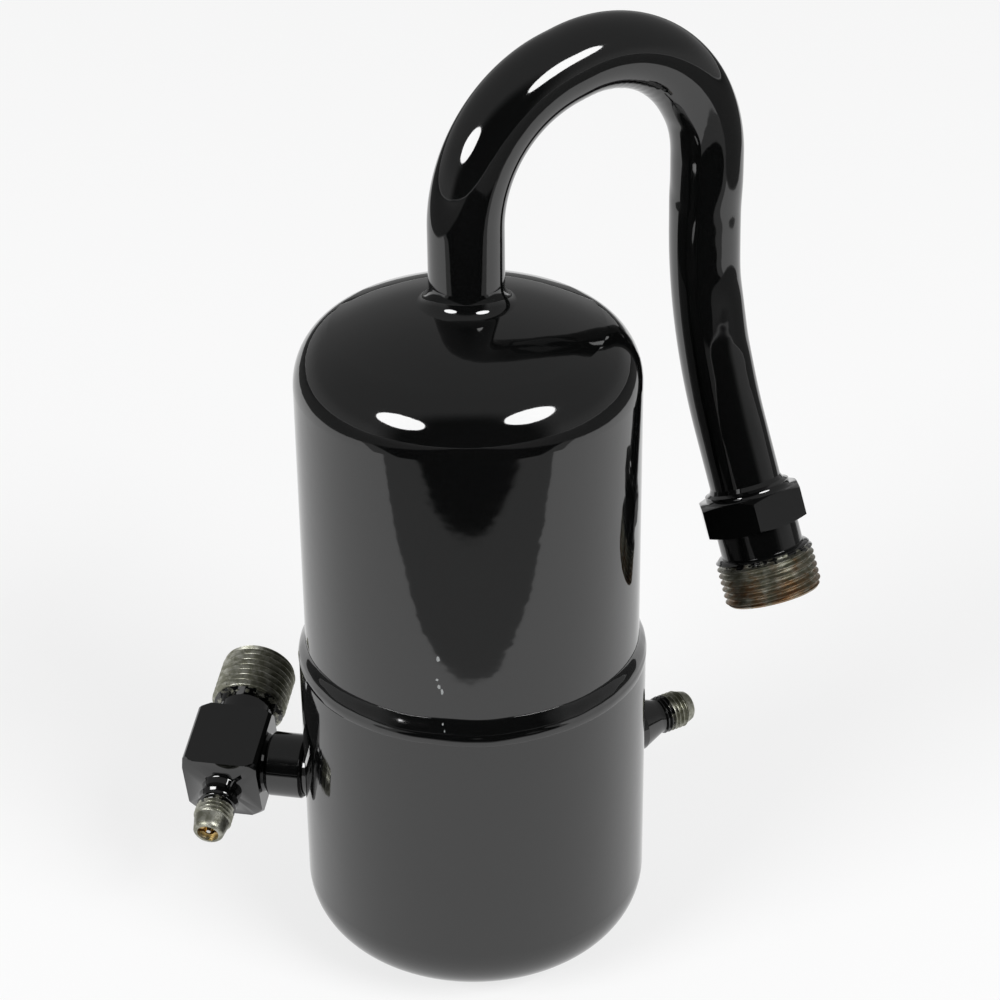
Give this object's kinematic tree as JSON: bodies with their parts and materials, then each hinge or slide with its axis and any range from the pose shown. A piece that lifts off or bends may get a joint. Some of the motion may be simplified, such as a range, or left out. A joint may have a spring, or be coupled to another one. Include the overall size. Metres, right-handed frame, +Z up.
{
  "type": "receiver drier",
  "caption": "Black steel receiver drier can with a gooseneck outlet pipe, side inlet block, service port and switch port.",
  "frame": {"origin": "centre of the can's foot, on the surface it stands on", "axes": "+Z up along the can's centre line; the front looks along -Y, with the outlet pipe bending to +X and the inlet at -X"},
  "size_m": [0.1438, 0.0791, 0.2129],
  "materials": {
    "black_paint": "gloss",
    "braze_metal": "satin",
    "core_brass": "satin",
    "pin_steel": "satin",
    "spring_steel": "satin",
    "seal_rubber": "matte",
    "aluminium_tube": "satin",
    "plain_steel": "satin",
    "white_nylon": "satin",
    "mesh_steel": "satin",
    "felt": "matte",
    "strap_nylon": "satin"
  },
  "bodies": {
    "canister": {"upper_shell": "black_paint", "lower_shell": "black_paint", "seam_weld": "black_paint", "outlet_tube": "black_paint", "outlet_tube_braze": "black_paint", "outlet_fitting": "black_paint", "outlet_fitting_braze": "black_paint", "inlet_stub": "black_paint", "inlet_stub_braze": "black_paint", "inlet_block": "black_paint", "inlet_block_braze": "black_paint", "switch_port": "black_paint", "switch_port_braze": "black_paint", "pickup_tube": "aluminium_tube", "vapour_deflector": "plain_steel", "deflector_weld": "plain_steel", "tube_clip": "plain_steel", "strainer_body": "white_nylon", "strainer_screen": "mesh_steel", "desiccant_bag": "felt", "bag_strap_lower": "strap_nylon", "bag_strap_upper": "strap_nylon", "service_valve_core": "core_brass", "service_core_gasket": "seal_rubber", "service_valve_spring": "spring_steel", "switch_valve_core": "core_brass", "switch_core_gasket": "seal_rubber", "switch_valve_spring": "spring_steel"},
    "service_pin": {"service_valve_pin": "pin_steel", "service_valve_seal": "seal_rubber"},
    "switch_pin": {"switch_valve_pin": "pin_steel", "switch_valve_seal": "seal_rubber"}
  },
  "joints": [
    {"name": "service_pin_press", "type": "slide", "parent": "canister", "child": "service_pin", "axis": [0.1853, 0.9447, 0.2706], "range_m": [0, 0.0012], "stiffness_N_per_m": 900, "deforming": ["service_valve_spring"]},
    {"name": "switch_pin_press", "type": "slide", "parent": "canister", "child": "switch_pin", "axis": [-0.8545, -0.5195, 0], "range_m": [0, 0.0012], "stiffness_N_per_m": 900, "deforming": ["switch_valve_spring"]}
  ]
}
